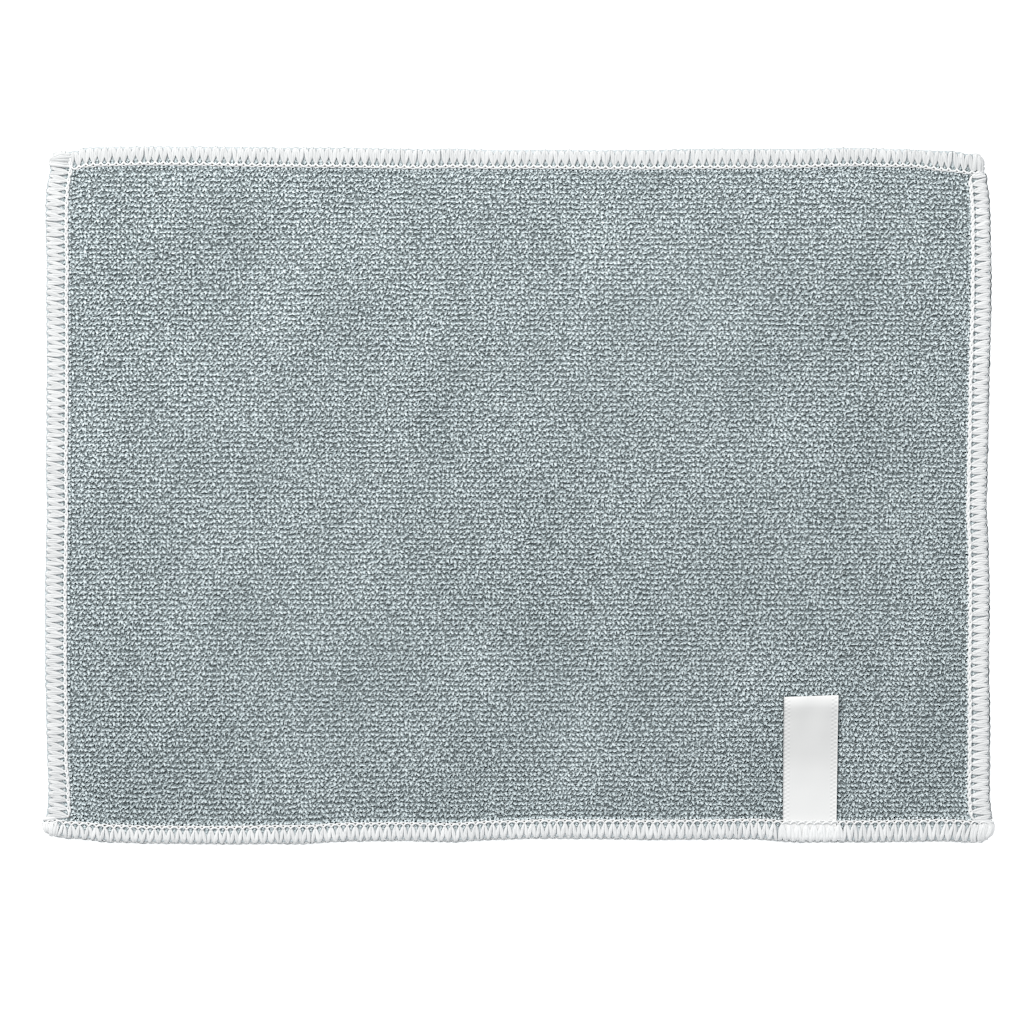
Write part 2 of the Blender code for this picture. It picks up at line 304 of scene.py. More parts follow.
def past_ribbon(x, y):
    """Distance outwards from the ribbon's long sides and its fold, in metres; negative over it."""
    beside = np.abs(x - LABEL_CENTRE) - LABEL_WIDTH / 2
    beyond = HALF_WIDTH + y - LABEL_REACH
    return np.maximum(beside, beyond)


def near_label(x, y):
    """1 under the label and at its seam end, falling to 0 over 3 mm beside it."""
    return 1.0 - ease(past_ribbon(x, y) / (3 * MM))


def under_label(x, y):
    """1 where the ribbon lies on the loops and presses them down."""
    return 1.0 - ease(past_ribbon(x, y) / (0.5 * MM) + 0.5)


def pile_top(x, y):
    """Height of the loops' tips over a nominal point."""
    seam = past_seam(x, y)
    height = eased(PANEL_PROFILE, seam / MM) * MM
    swell = np.zeros_like(height)
    for centre_x, centre_y, reach, rise in SWELLS:
        away = np.hypot(x / MM - centre_x, y / MM - centre_y) / reach
        swell += rise * MM * np.exp(-2.0 * away * away)
    return height + swell * ease(seam / (16 * MM)) * (1.0 - near_label(x, y))


# ---------------------------------------------------------------- materials
def new_material(name, colour, roughness):
    made = bpy.data.materials.new(name)
    made.use_nodes = True
    shader = made.node_tree.nodes["Principled BSDF"]
    shader.inputs["Base Color"].default_value = (*colour, 1.0)
    shader.inputs["Roughness"].default_value = roughness
    return made, made.node_tree, shader


def node_math(tree, operation, first, second=None, third=None):
    """A math node whose inputs are sockets or plain numbers; gives its output socket."""
    node = tree.nodes.new("ShaderNodeMath")
    node.operation = operation
    for slot, value in enumerate((first, second, third)):
        if value is None:
            continue
        if isinstance(value, (int, float)):
            node.inputs[slot].default_value = value
        else:
            tree.links.new(value, node.inputs[slot])
    return node.outputs[0]


def point_field(tree, name):
    """The socket of a value that the mesh holds at each point."""
    node = tree.nodes.new("ShaderNodeAttribute")
    node.attribute_name = name
    return node.outputs["Fac"]


def smooth_range(tree, value, start, end, low=0.0, high=1.0):
    """A value that goes smoothly from low at start to high at end."""
    node = tree.nodes.new("ShaderNodeMapRange")
    node.interpolation_type = "SMOOTHSTEP"
    node.inputs["From Min"].default_value = start
    node.inputs["From Max"].default_value = end
    node.inputs["To Min"].default_value = low
    node.inputs["To Max"].default_value = high
    tree.links.new(value, node.inputs["Value"])
    return node.outputs["Result"]


def new_group(name, *outputs):
    """An empty node group that puts out these values, and its output node."""
    group = bpy.data.node_groups.new(name, "ShaderNodeTree")
    for output in outputs:
        group.interface.new_socket(output, in_out="OUTPUT", socket_type="NodeSocketFloat")
    return group, group.nodes.new("NodeGroupOutput")


def terry_painted_foot_shade():
    """Node group: painted shade on the yarn, how much light it keeps from its darkened feet up to the tips of
    the loops.
    """
    group, output = new_group("terry_painted_foot_shade", "Shade")
    along = point_field(group, "along")
    from_tip = node_math(group, "ABSOLUTE", node_math(group, "SUBTRACT", along, 0.5))
    shade = smooth_range(group, from_tip, 0.22, 0.50, 1.0, 0.29)
    group.links.new(shade, output.inputs["Shade"])
    return group


def tone_ramp(tree, field, low, high, between=()):
    """Colour that follows a per-point field from low to high, through (share, colour) stops between."""
    ramp = tree.nodes.new("ShaderNodeValToRGB")
    stops = ramp.color_ramp.elements
    stops[0].color = (*low, 1)
    stops[1].color = (*high, 1)
    for share, colour in between:
        stops.new(share).color = (*colour, 1)
    tree.links.new(point_field(tree, field), ramp.inputs["Fac"])
    return ramp.outputs["Color"]


def with_painted_foot_shade(tree, colour, depth, strength):
    """The yarn's colour with painted shade on its feet, by the terry_painted_foot_shade group."""
    group = tree.nodes.new("ShaderNodeGroup")
    group.node_tree = depth
    shaded = tree.nodes.new("ShaderNodeMix")
    shaded.data_type = "RGBA"
    shaded.blend_type = "MULTIPLY"
    shaded.inputs["Factor"].default_value = strength
    tree.links.new(colour, shaded.inputs["A"])
    tree.links.new(group.outputs["Shade"], shaded.inputs["B"])
    return shaded.outputs["Result"]


def terry_material(depth):
    made, tree, shader = new_material("terry_yarn", (0.42, 0.47, 0.48), 0.95)
    colour = tone_ramp(tree, "tone", (0.515, 0.588, 0.603), (0.885, 0.958, 0.973))
    # painted shade: the loops' feet darkened in full, as shade deep in the pile
    tree.links.new(with_painted_foot_shade(tree, colour, depth, 1.0), shader.inputs["Base Color"])
    shader.inputs["Specular IOR Level"].default_value = 0.05
    return made


def cut_edge_material(depth):
    made, tree, shader = new_material("terry_cut_edge", (0.25, 0.29, 0.30), 1.0)
    # the cut edge's grey, darker than the yarn's: its own grey with painted shade in it
    colour = tone_ramp(tree, "tone", (0.12, 0.145, 0.15), (0.34, 0.38, 0.40))
    # painted shade at both ends of each arc of the cut edge, at half strength
    tree.links.new(with_painted_foot_shade(tree, colour, depth, 0.5), shader.inputs["Base Color"])
    return made


def ground_material():
    """The ground sheet: painted shade makes it dark under the pile, pale inside the overlocking and darker
    again at its rim, painted shade in the slits between the threads.
    """
    made, tree, shader = new_material("terry_ground", (0.30, 0.35, 0.36), 1.0)
    between = ((0.16, (0.52, 0.58, 0.59)), (0.60, (0.84, 0.88, 0.90)), (0.85, (0.80, 0.85, 0.87)))
    colour = tone_ramp(tree, "band", (0.30, 0.35, 0.36), (0.56, 0.62, 0.64), between)
    tree.links.new(colour, shader.inputs["Base Color"])
    return made


def thread_turn_shade():
    """Node group: how far a looper thread has come up and over the edge, 0 underneath and 1 on top; it places
    painted shade on the thread.
    """
    group, output = new_group("thread_turn_shade", "Over")
    over = smooth_range(group, point_field(group, "along"), 0.20, 0.42)
    group.links.new(over, output.inputs["Over"])
    return group


def thread_material(wraps):
    """White polyester thread; the looper that wraps the edge gets painted shade, grey-blue, where it turns
    down away from the light.
    """
    name = "looper_thread" if wraps else "needle_thread"
    made, tree, shader = new_material(name, (0.80, 0.79, 0.78), 0.8)
    colour = tone_ramp(tree, "tone", (0.62, 0.63, 0.63), (0.88, 0.885, 0.88))
    if not wraps:
        tree.links.new(colour, shader.inputs["Base Color"])
        return made
    turn = tree.nodes.new("ShaderNodeGroup")
    turn.node_tree = thread_turn_shade()
    shaded = tree.nodes.new("ShaderNodeMix")
    shaded.data_type = "RGBA"
    # painted shade: grey-blue where the thread turns down over the edge
    shaded.inputs["A"].default_value = (0.46, 0.51, 0.53, 1)
    tree.links.new(turn.outputs["Over"], shaded.inputs["Factor"])
    tree.links.new(colour, shaded.inputs["B"])
    tree.links.new(shaded.outputs["Result"], shader.inputs["Base Color"])
    return made


def hole_shade_material():
    # painted shade of a needle hole: a flat dark disc
    made, _, _ = new_material("needle_hole", (0.20, 0.175, 0.15), 1.0)
    return made


FLOAT_PITCH = 1.27          # mm from float to float along a selvedge
FLOAT_ROWS = 2.0            # mm across for two rows, the second staggered
FIRST_ROW = 0.70            # mm from the ribbon's side to the first row
SELVEDGE = 2.3              # mm that the selvedge reaches in
FLOAT_TONE = 0.085


def ribbon_weave():
    """Node group: tone of the satin with its painted sheen, with two staggered rows of small floats along
    both selvedges.
    """
    group, output = new_group("ribbon_weave", "Tone", "Height")
    side = node_math(group, "ABSOLUTE", point_field(group, "across_mm"))
    along = point_field(group, "along_mm")
    from_edge = node_math(group, "SUBTRACT", LABEL_WIDTH / 2 / MM, side)
    step = node_math(group, "COSINE", node_math(group, "MULTIPLY", along, TURN / FLOAT_PITCH))
    phase = -TURN * FIRST_ROW / FLOAT_ROWS
    rows = node_math(group, "COSINE", node_math(group, "MULTIPLY_ADD", from_edge, TURN / FLOAT_ROWS, phase))
    edge = node_math(group, "MULTIPLY", node_math(group, "SUBTRACT", SELVEDGE, from_edge), 3.0)
    clamped = group.nodes.new("ShaderNodeClamp")
    group.links.new(edge, clamped.inputs["Value"])
    dots = node_math(group, "MULTIPLY", node_math(group, "MULTIPLY", step, rows), clamped.outputs["Result"])
    fine = group.nodes.new("ShaderNodeTexNoise")
    fine.inputs["Scale"].default_value = 1500.0
    fine.inputs["Detail"].default_value = 2.0
    speck = node_math(group, "MULTIPLY_ADD", fine.outputs["Fac"], 0.03, -0.015)
    tone = node_math(group, "MULTIPLY_ADD", dots, FLOAT_TONE, speck)
    # painted sheen and shade along the ribbon, from the care label's table
    painted_sheen = point_field(group, "painted_sheen")
    group.links.new(node_math(group, "ADD", tone, painted_sheen), output.inputs["Tone"])
    group.links.new(dots, output.inputs["Height"])
    return group


def ribbon_material():
    made, tree, shader = new_material("satin_ribbon", (0.80, 0.80, 0.79), 0.5)
    weave = tree.nodes.new("ShaderNodeGroup")
    weave.node_tree = ribbon_weave()
    tone = weave.outputs["Tone"]
    colour = tree.nodes.new("ShaderNodeCombineColor")
    tree.links.new(tone, colour.inputs["Red"])
    tree.links.new(tone, colour.inputs["Green"])
    tree.links.new(node_math(tree, "MULTIPLY", tone, 0.985), colour.inputs["Blue"])
    tree.links.new(colour.outputs["Color"], shader.inputs["Base Color"])
    bump = tree.nodes.new("ShaderNodeBump")
    bump.inputs["Strength"].default_value = 0.5
    bump.inputs["Distance"].default_value = 0.0001
    tree.links.new(weave.outputs["Height"], bump.inputs["Height"])
    tree.links.new(bump.outputs["Normal"], shader.inputs["Normal"])
    return made


# ---------------------------------------------------------------- terry panel
WALE = 1.325 * MM
COURSE = 1.615 * MM
BACK_WALE = 1.95 * MM
BACK_COURSE = 2.35 * MM
GROUND_TOP = 1.25 * MM
GROUND_UNDERSIDE = 0.85 * MM
FOOT_SINK = 0.1 * MM        # how deep the loops' feet stand in the ground sheet
NAP = 1.0 * MM              # how far the upper loops lie over towards -Y
SWAY = 0.08 * MM            # how far wales and courses stray from straight lines
LOOP_SIZE = {               # reach_mm from foot to foot, half_width_mm of the yarn
    "face": (1.12, 0.45), "fill": (1.2, 0.42), "back": (2.1, 0.55), "seam": (1.0, 0.38),
}
# How a loop rises: places across its reach, -1 to 1, and the share of its height there.
ROUND_ARCH = ((-1.0, 0.0), (-0.8, 0.66), (0.0, 1.0), (0.8, 0.66), (1.0, 0.0))
PLAIN_ARCH = ((-1.0, 0.0), (0.0, 1.0), (1.0, 0.0))
FLAT_ARCH = ((-1.0, 0.0), (-0.6, 0.9), (0.6, 0.9), (1.0, 0.0))


def terry_ground(material):
    """The knitted ground sheet that carries the loops and runs out inside the overlocking."""
    near_edge = np.array([0.15, 0.5, 1.1, 2.2, 3.6, 4.8, 6.0, 7.4, 9.2]) * MM
    columns = np.linspace(-HALF_LENGTH + 12 * MM, HALF_LENGTH - 12 * MM, 61)
    rows = np.linspace(-HALF_WIDTH + 12 * MM, HALF_WIDTH - 12 * MM, 45)
    columns = np.concatenate([near_edge - HALF_LENGTH, columns, HALF_LENGTH - near_edge[::-1]])
    rows = np.concatenate([near_edge - HALF_WIDTH, rows, HALF_WIDTH - near_edge[::-1]])
    x, y = np.meshgrid(columns, rows)
    seam = past_seam(x, y)
    # painted shade: the sheet is darkest under the pile, where the loops shade it
    banded = np.clip(0.15 - seam / (6.0 * MM), 0, 1)
    # On the label's side the last 3 mm go over to the tone that the band has at its rim: painted shade in the
    # slits on the side away from the key lamp.
    banded = np.maximum(banded, ease(1.0 - (HALF_WIDTH + y) / (3.0 * MM)))
    top = GROUND_TOP + 0.60 * MM * ease(0.6 - seam / (1.2 * MM)) * (1 - near_label(x, y))
    under = np.full_like(top, GROUND_UNDERSIDE)
    px, py = place(x, y)
    points = np.stack([np.stack([px, py, top], -1), np.stack([px, py, under], -1)])
    upper, rim = grid_quads(*x.shape)
    follow = np.roll(rim, -1)
    wall = np.stack([rim + x.size, follow + x.size, follow, rim], -1)
    quads = np.concatenate([upper, upper[:, ::-1] + x.size, wall])
    return mesh_object("terry_ground", points, quads, material, (("band", [banded, banded]),))


def loop_grid(wale, course, shift_x, shift_y):
    """Nominal centres of the loops: wales across, courses along, as the knitting lays them."""
    columns = round(CLOTH_LENGTH / wale)
    rows = round(CLOTH_WIDTH / course)
    column, row = np.meshgrid(np.arange(columns), np.arange(rows))
    x = (column + 0.5 + shift_x - columns / 2) * wale
    y = (row + 0.5 + shift_y - rows / 2) * course
    return x.ravel(), y.ravel()


def arches(x, y, heading, twist, reach, lean, top, foot, share):
    """Loop paths: each stands on its foot height and turns and leans as it rises to its top."""
    paths = np.empty((len(x), len(share), 3))
    for step, (across, rise) in enumerate(share):
        turn = heading + twist * (rise * (1.0 if across > 0 else -1.0))
        px = x + across * reach / 2 * np.cos(turn) + lean[0] * rise
        py = y + across * reach / 2 * np.sin(turn) + lean[1] * rise
        paths[:, step, 0], paths[:, step, 1] = place(px, py)
        paths[:, step, 2] = foot + (top - foot) * rise
    sideways = np.stack([-np.sin(heading), np.cos(heading), 0.0 * heading], -1)[:, None]
    return paths, sideways


def in_strips(name, strips, paths, sideways, width, height, material, tone):
    """The same loops as several meshes, so that none grows too large."""
    pieces = []
    count = len(paths)
    for strip in range(strips):
        part = slice(count * strip // strips, count * (strip + 1) // strips)
        pieces.append(loops(
            f"{name}_{strip + 1}", paths[part], width[part], height[part],
            sideways[part], material, tone[part],
        ))
    return pieces


def pile_tone(x, y, random, spread):
    """How pale a loop is: its own luck, the brushed patches, and painted light that makes the pile paler
    towards the far side and a little towards the left.
    """
    patches = 0.054 * drift(x, 0.5 * y, 27 * MM, 5) + 0.022 * drift(x, y, 9 * MM, 6)
    # painted light: the pile paler towards +Y and a little towards -X, the key lamp's side
    painted_light_slope = 0.15 * y / HALF_WIDTH - 0.02 * x / HALF_LENGTH
    return np.clip(0.5 + random.normal(0, spread, len(x)) + patches + painted_light_slope, 0, 1)


def stray(x, y, random, spread_x, spread_y):
    """Loop centres off their grid: each by its own luck, in shares of the grid, and all by slow drifts."""
    x = x + random.normal(0, spread_x, len(x)) * WALE + SWAY * drift(x, y, 9 * MM, 3)
    y = y + random.normal(0, spread_y, len(y)) * COURSE + SWAY * drift(x, y, 6 * MM, 4)
    return x, y


def pile_face(material):
    """Loops of the upper face: one for each wale and course, and some more squeezed between."""
    random = np.random.default_rng(11)
    reach_mm, yarn_mm = LOOP_SIZE["face"]
    x, y = loop_grid(WALE, COURSE, 0.0, 0.0)
    more_x, more_y = loop_grid(WALE, COURSE, 0.5, 0.0)
    some = random.random(len(more_x)) < 0.03
    x = np.concatenate([x, more_x[some]])
    y = np.concatenate([y, more_y[some] + random.normal(0, 0.22, some.sum()) * COURSE])
    order = np.argsort(y, kind="stable")
    x, y = x[order], y[order]
    kept = past_seam(x, y - NAP / 2) > 0.60 * MM
    x, y = x[kept], y[kept]
    count = len(x)
    x, y = stray(x, y, random, 0.06, 0.05)
    y = y + NAP / 2
    heading = np.where(
        random.random(count) < 0.9, random.normal(0.1, 0.5, count), random.uniform(0, math.pi, count),
    )
    twist = random.normal(0.0, 0.45, count)
    reach = reach_mm * MM * random.uniform(0.8, 1.25, count)
    toward = random.uniform(0, TURN, count)
    lean = random.uniform(0.0, 0.15, count) * MM
    lean = (lean * np.cos(toward), lean * np.sin(toward) - NAP)
    width = yarn_mm * MM * random.uniform(0.85, 1.2, (count, 1)) * np.array([0.8, 0.95, 1.05, 0.95, 0.8])
    top = pile_top(x, y) - random.uniform(0, 0.30, count) * MM - 0.36 * MM
    top = top - 0.35 * MM * under_label(x, y)
    foot = GROUND_TOP - FOOT_SINK
    paths, sideways = arches(x, y, heading, twist, reach, lean, top, foot, ROUND_ARCH)
    paths[:, 1:4, 2] += (random.normal(0, 0.09, (count, 1)) * np.array([1, 0, -1])) * MM
    return in_strips("pile_face", 3, paths, sideways, width, width * 0.95, material,
                     pile_tone(x, y, random, 0.06))


def pile_fill(material):
    """Lower loops seen in the gaps of the grid; beside the needle line they all keep one height."""
    random = np.random.default_rng(13)
    reach_mm, yarn_mm = LOOP_SIZE["fill"]
    x, y = loop_grid(WALE, COURSE, 0.5, 0.35)
    kept = past_seam(x, y) > 0.2 * MM
    x, y = x[kept], y[kept]
    count = len(x)
    x, y = stray(x, y, random, 0.15, 0.12)
    heading = random.normal(0, 0.8, count)
    reach = reach_mm * MM * random.uniform(0.8, 1.2, count)
    width = yarn_mm * MM * random.uniform(0.8, 1.2, (count, 1)) * np.array([0.9, 1.1, 0.9])
    seam = past_seam(x, y)
    top = np.where(seam > 1.7 * MM, pile_top(x, y) - 0.95 * MM, 1.95 * MM)
    top = top - 0.45 * MM * under_label(x, y) + random.normal(0, 0.12, count) * MM
    foot = GROUND_TOP - FOOT_SINK
    upright = (0.0 * x, 0.0 * x)
    paths, sideways = arches(x, y, heading, 0.0 * heading, reach, upright, top, foot, PLAIN_ARCH)
    return in_strips("pile_fill", 2, paths, sideways, width, width * 0.8, material,
                     pile_tone(x, y, random, 0.08))


def pile_back(material):
    """Shorter, sparser loops of the underside, which carry the cloth on the surface."""
    random = np.random.default_rng(12)
    reach_mm, yarn_mm = LOOP_SIZE["back"]
    x, y = loop_grid(BACK_WALE, BACK_COURSE, 0.0, 0.0)
    kept = past_seam(x, y) > 0.9 * MM
    x, y = x[kept], y[kept]
    count = len(x)
    x = x + random.normal(0, 0.2, count) * MM
    y = y + random.normal(0, 0.2, count) * MM
    heading = random.normal(0.0, 0.7, count)
    reach = reach_mm * MM * random.uniform(0.8, 1.2, count)
    low = random.uniform(0.0, 0.25, count) * MM + 0.45 * MM
    low = low + 0.30 * MM * (1 - ease(past_seam(x, y) / (3 * MM)))
    width = yarn_mm * MM * random.uniform(0.85, 1.15, (count, 1)) * np.array([0.8, 1.1, 0.8])
    foot = GROUND_UNDERSIDE + FOOT_SINK
    upright = (0.0 * x, 0.0 * x)
    paths, sideways = arches(x, y, heading, 0.3 + 0.0 * heading, reach, upright, low, foot, PLAIN_ARCH)
    return in_strips("pile_back", 1, paths, -sideways, width, width * 0.8, material,
                     pile_tone(x, y, random, 0.12))


# ---------------------------------------------------------------- overlocking
# Each side was sewn in one run. A run that overran a corner goes right out to the next edge.
RUNS = {                    # side: stitches, start_mm, end_mm along the side, anticlockwise
    "near": (116, -148.6, 148.2),
    "right": (82, -103.4, 102.6),
    "far": (114, -148.4, 143.0),
    "left": (83, -108.2, 103.6),
}
THREAD_TOP = 2.30 * MM      # middle of the threads that lie on the cloth


def lay(path, step, side, along, inset, height):
    """One step of a side's threads: places along the side, in from its straight line, and how high."""
    x, y = side_point(side, along, inset)
    path[:, step, 0], path[:, step, 1] = place(x, y)
    path[:, step, 2] = height


def over_label(side, along, fade):
    """1 where the near side's threads cross the label, falling to 0 over the fade beside it."""
    if side != "near":
        return 0.0 * along
    beside = np.abs(along - LABEL_CENTRE) - LABEL_WIDTH / 2
    return 1.0 - ease(beside / fade)


def label_lift(side, along):
    """How far the near side's threads ride up over the label."""
    return 0.33 * MM * over_label(side, along, 2.0 * MM)


def run_of(side):
    """A side's needle points: place along it, distance from the edge, and the fan of its ends."""
    stitches, start, end = RUNS[side]
    random = np.random.default_rng(len(side) + stitches)
    needle = np.linspace(start, end, stitches + 1) * MM
    pitch = needle[1] - needle[0]
    needle[1:-1] += random.normal(0, 0.045, stitches - 1) * pitch
    band = eased(BAND_WIDTH[side], needle / MM) * MM
    to_end = HALF_OF[side] - np.abs(needle)
    fan = np.sign(needle) * 0.9 * MM * (1.0 - ease((to_end - 1.0 * MM) / (12 * MM)))
    fan = np.where(to_end < 3.0 * MM, 0.25 * fan, fan)
    return needle, band, fan, pitch


def side_heading(side):
    """Unit vector along a side, anticlockwise round the cloth."""
    x, y = side_point(side, 1.0, 0.0)
    start_x, start_y = side_point(side, 0.0, 0.0)
    return np.array([x - start_x, y - start_y, 0.0])


# The upper looper's legs; inner_mm and outer_mm are how far its two plies stand from the needle point.
UPPER_COURSE = (            # toward_needle, height_mm against the top, inner_mm, outer_mm, half_width_mm
    (0.060, -1.55, 0.68, 1.12, 0.30), (-0.020, -1.00, 0.64, 1.14, 0.34), (0.000, -0.38, 0.62, 1.12, 0.40),
    (0.080, 0.01, 0.58, 1.10, 0.44), (0.300, 0.10, 0.34, 1.06, 0.46), (0.560, 0.12, 0.30, 0.98, 0.44),
    (0.800, 0.08, 0.22, 0.70, 0.36), (1.000, -0.05, 0.10, 0.30, 0.26),
)
STITCH = 2.55 * MM          # the stitch for which the spreads hold
WRAPPED = -0.3              # mm against the top; lower down the thread doesn't ride over the label
CLOSED = 0.68               # share by which the inner plies close up over the label
FULLER = 0.35               # share by which both plies are wider there
# mm that a leg's outer end runs ahead
SKEW = {"near": 0.0, "right": 0.70, "far": 0.0, "left": -0.70}
# mm by which the outer plies draw in halfway along a leg, and at its needle end
WINDOW_TAIL = {"near": 0.10, "right": 0.17, "far": 0.06, "left": 0.09}
WINDOW_BASE = {"near": 0.20, "right": 0.14, "far": 0.26, "left": 0.25}
# how far the inner plies stand apart, against their spread in the table
SLIT = {"near": 1.50, "right": 0.85, "far": 1.1, "left": 1.1}
# mm from the outline to the middle of the threads that turn round it
TURN_INSET = {"near": -0.08, "right": 0.06, "far": 0.36, "left": 0.38}
# mm more of it for the inner and the outer ply, which makes the scalloped outline
NOTCH = (0.28, -0.05)
# Legs' tones by side: painted shade on the far and left legs, which the key lamp lights more, so that all
# sides come out alike.
LEG_TONE = {"near": (0.50, 0.82), "right": (0.50, 0.82), "far": (0.22, 0.50), "left": (0.24, 0.54)}


def upper_looper(material):
    """Upper looper thread: from every needle point two plied legs spread out over the edge."""
    random = np.random.default_rng(21)
    paths, flats, tones, grown = [], [], [], []
    for side in SIDES:
        needle, band, fan, pitch = run_of(side)
        pressed = over_label(side, needle, 1.5 * MM)
        lean = random.normal(0, 0.16, len(needle)) * MM
        rise = random.normal(0, 0.05, len(needle)) * MM
        for leg in (-1, 1):
            leg_lean = lean + random.normal(0, 0.08, len(needle)) * MM
            leg_tone = random.uniform(*LEG_TONE[side], len(needle))
            for ply in (0, 1):
                path = np.empty((len(needle), len(UPPER_COURSE), 3))
                reach = (TURN_INSET[side] + NOTCH[ply] + random.normal(0, 0.07, len(needle))) * MM
                for step, (toward, height, inner, outer, _) in enumerate(UPPER_COURSE):
                    outer = outer - WINDOW_TAIL[side] * math.sin(math.pi * max(toward, 0.0))
                    outer = outer - WINDOW_BASE[side] * max(toward, 0.0) ** 2
                    spread = leg * (inner * SLIT[side], outer)[ply] * MM * pitch / STITCH
                    if ply == 0:
                        spread = spread * (1.0 - CLOSED * pressed)
                    wobble = random.normal(0, 0.035, len(needle)) * MM
                    along = needle + spread + (fan + leg_lean + SKEW[side] * MM) * (1 - toward) + wobble
                    crown = random.normal(0, 0.03, len(needle)) * MM
                    top = THREAD_TOP + height * MM + rise + crown
                    if height > WRAPPED:
                        top += label_lift(side, along)
                    lay(path, step, side, along, band * toward + reach * (1 - toward), top)
                paths.append(path)
                flats.append(np.broadcast_to(side_heading(side), (len(needle), 1, 3)))
                tone = leg_tone + random.uniform(-0.06, 0.06, len(needle))
                # painted light: where the legs cross the label they are painted at full tone, which lifts the
                # shade between them
                tones.append(np.maximum(tone, pressed))
                grown.append(1.0 + FULLER * pressed)
    paths = np.concatenate(paths)
    width = np.array(UPPER_COURSE)[:, 4] * MM
    grown = np.concatenate(grown)[:, None]
    width = width * random.uniform(0.88, 1.05, (len(paths), 1)) * grown
    angles = np.radians([-15, 45, 135, 195])
    return strand_mesh("overlock_upper_looper", paths, width, width * 0.50 / grown ** 2,
                       np.concatenate(flats), angles, False, material, np.concatenate(tones))


LOWER_COURSE = (            # toward_needle, height_mm, spread_mm
    (0.000, 1.25, 1.16), (-0.010, 0.75, 1.12), (0.100, 0.36, 1.05),
    (0.500, 0.30, 0.62), (0.970, 0.36, 0.16),
)


def lower_looper(material):
    """Lower looper thread: the same run on the underside, in single thick legs."""
    random = np.random.default_rng(22)
    paths, flats, tones = [], [], []
    for side in SIDES:
        needle, band, fan, _ = run_of(side)
        for leg in (-1, 1):
            path = np.empty((len(needle), len(LOWER_COURSE), 3))
            for step, (toward, height, spread) in enumerate(LOWER_COURSE):
                wobble = random.normal(0, 0.05, len(needle)) * MM
                along = needle + leg * spread * MM + fan * (1 - toward) + wobble
                inset = band * toward + (0.1 + TURN_INSET[side] * (1 - toward)) * MM
                lay(path, step, side, along, inset, height * MM)
            paths.append(path)
            flats.append(np.broadcast_to(side_heading(side), (len(needle), 1, 3)))
            tones.append(random.uniform(0, 1, len(needle)))
    paths = np.concatenate(paths)
    width = np.full(paths.shape[:2], 0.36 * MM)
    return threads("overlock_lower_looper", paths, width, width * 0.7, np.concatenate(flats),
                   material, np.concatenate(tones), 3)


SEAM_LOOPS = (              # stitch_share, band_share, past_band_mm, top_mm, tone_low, tone_high
    (0.5, 0.87, 0.0, 2.20, 0.35, 0.85), (0.5, 1.0, 0.12, 2.24, 0.55, 1.0),
    (0.22, 1.0, 1.55, 2.34, 0.75, 1.0), (0.72, 1.0, 1.60, 2.30, 0.75, 1.0),
)


def seam_loops(material):
    """Loops of the pile that the stitches hold: two in each window and two beyond its scallop."""
    random = np.random.default_rng(31)
    reach_mm, yarn_mm = LOOP_SIZE["seam"]
    xs, ys, tops, tones = [], [], [], []
    for side in SIDES:
        needle, band, _, _ = run_of(side)
        for share, band_share, past, top, low, high in SEAM_LOOPS:
            along = needle[:-1] + (needle[1:] - needle[:-1]) * share
            along = along + random.normal(0, 0.12, len(along)) * MM
            inset = (band[1:] + band[:-1]) / 2 * band_share + (past + random.normal(0, 0.12, len(along))) * MM
            x, y = side_point(side, along, inset)
            xs.append(x)
            ys.append(y)
            tops.append((top + random.uniform(-0.1, 0.1, len(along))) * MM)
            tones.append(random.uniform(low, high, len(along)))
    x, y = np.concatenate(xs), np.concatenate(ys)
    top, tone = np.concatenate(tops), np.concatenate(tones)
    bare = under_label(x, y) < 0.5
    x, y, top, tone = x[bare], y[bare], top[bare], tone[bare]
    count = len(x)
    width = yarn_mm * MM * random.uniform(0.85, 1.15, (count, 1)) * np.array([0.8, 1.0, 1.0, 0.8])
    reach = reach_mm * MM * random.uniform(0.8, 1.2, count)
    heading = random.uniform(0, math.pi, count)
    foot = 1.5 * MM
    paths, sideways = arches(x, y, heading, 0.0 * x, reach, (0.0 * x, 0.0 * x), top, foot, FLAT_ARCH)
    return in_strips("pile_seam", 1, paths, sideways, width, width * 0.9, material, tone)


CHAIN_BOW = {"near": 0.85, "right": 0.58, "far": 0.85, "left": 0.55}   # mm inwards between needle points
ROUND_BOW = {"near": 0.30, "right": 0.44, "far": 0.30, "left": 0.40}   # mm round the needle holes
CHAIN_ROWS = (              # tone, height_mm at the span's ends, rise_mm between
    (1.0, -0.06, 0.26), (0.92, 0.02, 0.02),
)
CHAIN_WIDTH = {             # half_width_mm of the scallop and of the thread round the needle holes
    "near": (0.33, 0.20), "right": (0.42, 0.44), "far": (0.34, 0.20), "left": (0.38, 0.38),
}


